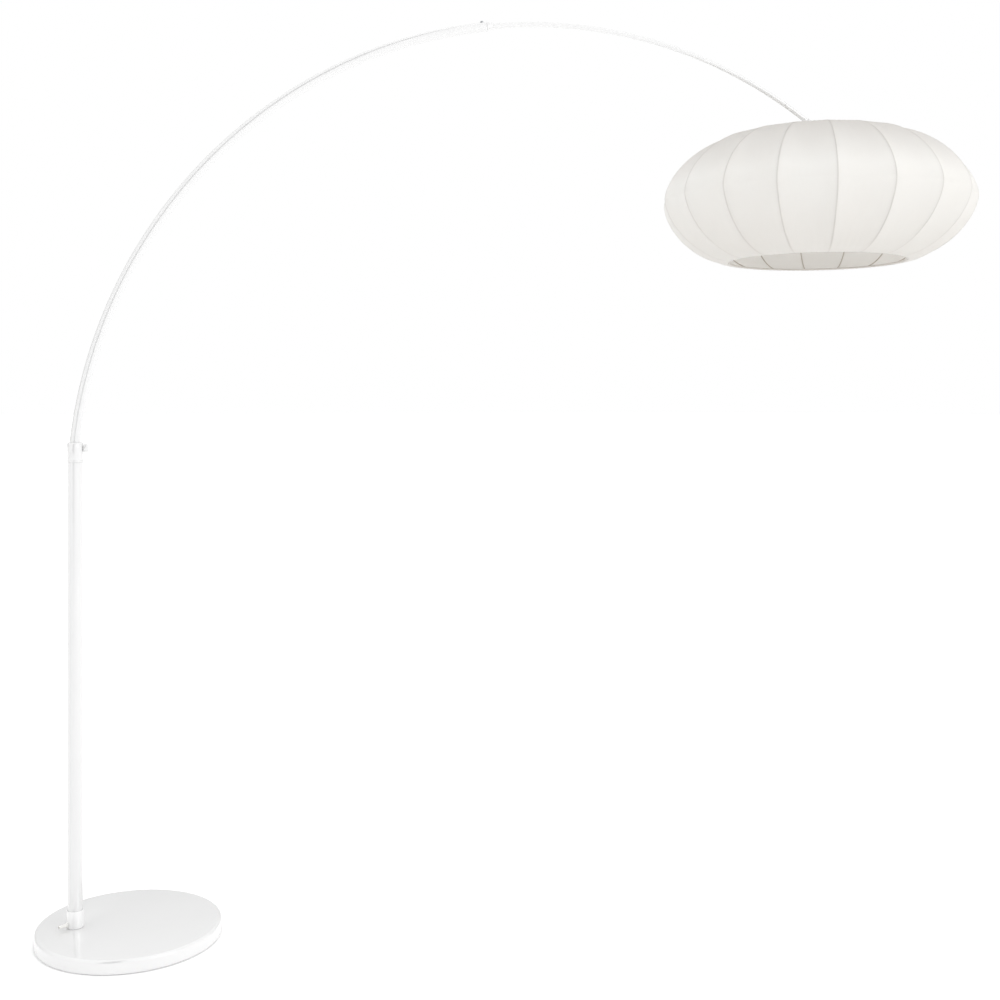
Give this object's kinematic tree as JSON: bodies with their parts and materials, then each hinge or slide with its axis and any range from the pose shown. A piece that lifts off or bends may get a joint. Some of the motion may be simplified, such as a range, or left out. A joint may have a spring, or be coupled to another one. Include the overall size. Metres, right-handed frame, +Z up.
{
  "type": "arc floor lamp",
  "caption": "Arc floor lamp with a round weighted base, a straight post, a curved telescopic arm and a ribbed round fabric shade with an open top and bottom.",
  "frame": {"origin": "centre of the base's underside, on the floor", "axes": "+Z up, +X the way the arm reaches, the arm curves in the XZ plane"},
  "size_m": [2.209, 0.7548, 2.0814],
  "materials": {
    "white_enamel": "gloss white powder coat",
    "cast_iron": "rough, black dipped",
    "zinc": "bright zinc plate",
    "white_plastic": "satin white moulding",
    "rubber": "matt black",
    "lead_sheath": "soft white PVC",
    "brass": "plain",
    "ceramic": "glazed",
    "frame_wire": "off-white coated wire",
    "fabric": "stretched warm white fabric",
    "opal": "opal diffuser"
  },
  "bodies": {
    "base": {"base_cover": "white_enamel", "base_weight": "cast_iron", "floor_pad": "rubber", "base_bolt": "zinc", "bolt_spring_washer": "zinc", "bolt_washer": "zinc", "post_socket": "white_enamel", "post_tube": "white_enamel", "post_foot_plug": "zinc", "cord_gland": "white_plastic", "supply_lead_post": "lead_sheath", "arm_collar": "white_enamel", "swivel_bush": "white_plastic"},
    "collar_knob": {"collar_lock_knob": "white_enamel"},
    "arm": {"arm_stem": "white_enamel", "arc_tube": "white_enamel", "arm_nose_bush": "white_enamel"},
    "rod_screw": {"rod_lock_screw": "zinc"},
    "rod": {"arc_rod": "white_enamel", "supply_lead_arm": "lead_sheath", "rod_end_lug": "white_enamel"},
    "head": {"knuckle_fork": "white_enamel", "pivot_bolt": "zinc", "threaded_nipple": "zinc", "lampholder_cap": "white_plastic", "nipple_nut": "zinc", "lampholder_body": "white_plastic", "shade_clamp_ring_upper": "white_plastic", "shade_clamp_ring_lower": "white_plastic", "lampholder_core": "ceramic", "screw_shell": "brass", "centre_contact": "brass", "supply_lead_head": "lead_sheath", "bulb_cap": "zinc", "bulb_collar": "white_plastic", "bulb_led_plate": "zinc", "bulb_dome": "opal", "shade_top_ring": "frame_wire", "shade_bottom_ring": "frame_wire", "shade_spider": "frame_wire", "shade_cover": "fabric", "shade_rib_01": "frame_wire", "shade_rib_02": "frame_wire", "shade_rib_03": "frame_wire", "shade_rib_04": "frame_wire", "shade_rib_05": "frame_wire", "shade_rib_06": "frame_wire", "shade_rib_07": "frame_wire", "shade_rib_08": "frame_wire", "shade_rib_09": "frame_wire", "shade_rib_10": "frame_wire", "shade_rib_11": "frame_wire", "shade_rib_12": "frame_wire", "shade_rib_13": "frame_wire", "shade_rib_14": "frame_wire", "shade_rib_15": "frame_wire", "shade_rib_16": "frame_wire", "shade_rib_17": "frame_wire", "shade_rib_18": "frame_wire"},
    "tilt_nut": {"tilt_knob": "white_enamel"}
  },
  "joints": [
    {"name": "arm_swivel", "type": "hinge", "parent": "base", "child": "arm", "pos_m": [-0.115, 0, 1], "axis": [0, 0, 1], "range_deg": [-170, 170]},
    {"name": "collar_knob_turn", "type": "hinge", "parent": "base", "child": "collar_knob", "pos_m": [-0.115, 0, 1.0819], "axis": [1, 0, 0], "range_deg": [-360, 360]},
    {"name": "rod_slide", "type": "hinge", "parent": "arm", "child": "rod", "pos_m": [0.97793, 0, 0.97538], "axis": [0, 1, 0], "range_deg": [-22, 6]},
    {"name": "rod_screw_turn", "type": "hinge", "parent": "arm", "child": "rod_screw", "pos_m": [0.79697, 0, 2.06039], "axis": [-0.1564, 0, 0.9877], "range_deg": [-360, 360]},
    {"name": "shade_tilt", "type": "hinge", "parent": "rod", "child": "head", "pos_m": [1.63532, 0, 1.85733], "axis": [0, 1, 0], "range_deg": [-30, 30]},
    {"name": "tilt_knob_turn", "type": "hinge", "parent": "head", "child": "tilt_nut", "pos_m": [1.63532, 0, 1.85733], "axis": [0, 1, 0], "range_deg": [-360, 360]}
  ]
}
